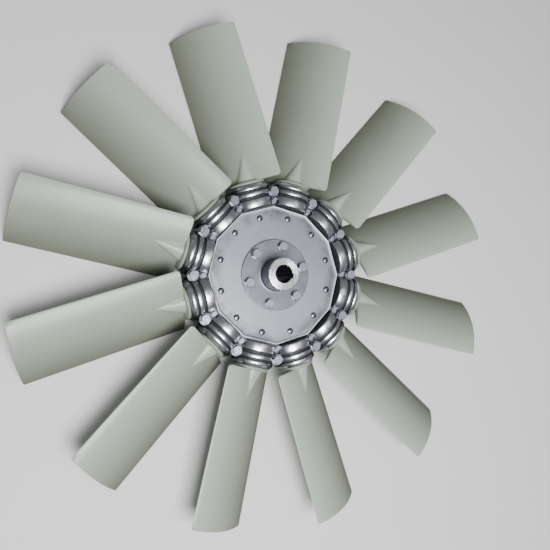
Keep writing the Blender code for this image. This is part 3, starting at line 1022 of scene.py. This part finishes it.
class IMPELLER_OT_bushing(bpy.types.Operator):
    """Models the flanged bushing with its keyed bore"""

    bl_idname = "impeller.bushing"
    bl_label = "Bushing"

    def execute(self, context):
        sizes = context.scene.impeller_hub
        made = mark(model_bushing(), bushing_finish)
        paint(
            made,
            turned_steel("flange_steel", sizes.flange, 0.44, 0.58),
            turned_steel("machined_steel", sizes.machined, 0.18, 0.28, FINE_GRAIN),
            # The side and the bore: darker steel, with painted shade
            turned_steel("dark_and_shaded_steel", sizes.dark_and_shaded, 0.30, 0.45),
        )
        fit(made, "hub", "machined_steel", "bushing")
        return {"FINISHED"}


class IMPELLER_OT_fasteners(bpy.types.Operator):
    """Models the clamp bolts, flange bolts, small bolts and face plate screws"""

    bl_idname = "impeller.fasteners"
    bl_label = "Bolts and screws"

    def execute(self, context):
        sizes = context.scene.impeller_fastener
        zinc, dull = zinc_plate("zinc_plate", sizes.zinc), zinc_plate("dull_zinc", sizes.dull)
        both = zinc, dull
        head = sizes.head_width, sizes.head_height, sizes.washer_radius, sizes.washer_height
        small_head = sizes.small_width, sizes.small_height, SMALL_WASHER, SMALL_WASHER_HEIGHT
        clamp = through_bolt("clamp", SEAT_TOP + GAP, -SEAT_TOP - GAP, LARGE_THREAD, *head)
        spread(clamp, "clamp_bolt", BLADES, RIM_CIRCLE, STEP / 2, both, replace=True)
        flange = through_bolt("flange", FLANGE_TOP + GAP, -PLATE_TOP - GAP, LARGE_THREAD, *head)
        spread(flange, "flange_bolt", FLANGE_BOLTS, FLANGE_CIRCLE, 0, both, replace=True)
        inner = through_bolt("inner", SEAT_TOP, -SEAT_TOP, SMALL_THREAD, *small_head)
        spread(inner, "small_bolt", BLADES, INNER_CIRCLE, STEP / 2, both)
        for prefix, rear in (("front_screw", False), ("rear_screw", True)):
            screw = model_screw(sizes.screw_radius, sizes.screw_height)
            spread(screw, prefix, BLADES, SCREW_CIRCLE, 0, (dull,), rear=rear)
        return {"FINISHED"}


def picture_axes(place, target, up):
    """Right, up and back of a camera at place that looks at target."""
    back = (place - target).normalized()
    right = up.cross(back).normalized()
    return right, back.cross(right), back


def area_light(name, place, size, power, tint=(1, 1, 1)):
    """Adds a soft rectangular light that shines on the impeller."""
    deselect()
    bpy.ops.object.light_add(type="AREA", location=place)
    lamp = bpy.context.object
    lamp.name = name
    lamp.rotation_euler = (Vector(place) - Vector(LIT_POINT)).to_track_quat("Z", "Y").to_euler()
    lamp.data.shape = "RECTANGLE"
    lamp.data.size, lamp.data.size_y = size
    lamp.data.energy = power
    lamp.data.color = tint


class IMPELLER_OT_studio(bpy.types.Operator):
    """Adds the pale floor, the soft lights and the camera"""

    bl_idname = "impeller.studio"
    bl_label = "Studio"

    def execute(self, context):
        settings = context.scene.impeller_studio
        self.add_floor(settings)
        self.add_lights(settings)
        self.add_camera(context, settings)
        return {"FINISHED"}

    def add_floor(self, settings):
        deselect()
        bpy.ops.mesh.primitive_plane_add(size=FLOOR_SIZE)
        floor = newest("floor")
        made = Finish("pale_floor", 0.0)
        made.colour(made.mix(made.noise(3.0), shade(settings.floor, 0.985), shade(settings.floor, 1.01)))
        made.roughness(made.noise(8.0), 0.6, 0.7)
        paint(floor, made.material)

    def add_lights(self, settings):
        area_light("key", KEY_PLACE, KEY_SIZE, KEY_POWER * settings.light)
        area_light("sheet", SHEET_PLACE, SHEET_SIZE, SHEET_POWER * settings.light, SHEET_TINT)
        world = bpy.context.scene.world or bpy.data.worlds.new("studio")
        bpy.context.scene.world = world
        world.use_nodes = True
        backdrop = world.node_tree.nodes["Background"]
        backdrop.inputs["Color"].default_value = BACKDROP
        backdrop.inputs["Strength"].default_value = BACKDROP_STRENGTH

    def add_camera(self, context, settings):
        place = Vector(settings.camera_place)
        right, up, back = picture_axes(place, Vector(LOOKED_AT), Vector(settings.camera_up))
        deselect()
        bpy.ops.object.camera_add(location=place)
        camera = context.object
        camera.name = "camera"
        camera.rotation_euler = Matrix((right, up, back)).transposed().to_euler()
        camera.data.lens = settings.lens
        camera.data.clip_start, camera.data.clip_end = 0.05, 50
        context.scene.camera = camera


class IMPELLER_PT_panel(bpy.types.Panel):
    """Lists the sizes, the colours and the steps that model the impeller"""

    bl_label = "Axial fan impeller"
    bl_idname = "IMPELLER_PT_panel"
    bl_space_type = "VIEW_3D"
    bl_region_type = "UI"
    bl_category = "Impeller"

    def draw(self, context):
        for operator in OPERATORS:
            self.layout.operator(operator.bl_idname)
        for group in SETTINGS:
            box = self.layout.box()
            settings = getattr(context.scene, group)
            for name in settings.bl_rna.properties.keys():
                if name not in ("name", "rna_type"):
                    box.prop(settings, name)


SETTINGS = {
    "impeller_blade": BladeSettings,
    "impeller_hub": HubSettings,
    "impeller_fastener": FastenerSettings,
    "impeller_studio": StudioSettings,
}
OPERATORS = (
    IMPELLER_OT_blades,
    IMPELLER_OT_hub_halves,
    IMPELLER_OT_face_plates,
    IMPELLER_OT_bushing,
    IMPELLER_OT_fasteners,
    IMPELLER_OT_studio,
)


def register():
    for made in (*SETTINGS.values(), *OPERATORS, IMPELLER_PT_panel):
        bpy.utils.register_class(made)
    for name, group in SETTINGS.items():
        setattr(bpy.types.Scene, name, PointerProperty(type=group))


def unregister():
    for name in SETTINGS:
        delattr(bpy.types.Scene, name)
    for made in reversed((*SETTINGS.values(), *OPERATORS, IMPELLER_PT_panel)):
        bpy.utils.unregister_class(made)


def main():
    register()
    bpy.ops.impeller.blades()
    bpy.ops.impeller.hub_halves()
    bpy.ops.impeller.face_plates()
    bpy.ops.impeller.bushing()
    bpy.ops.impeller.fasteners()
    bpy.ops.impeller.studio()


if __name__ == "__main__":
    main()
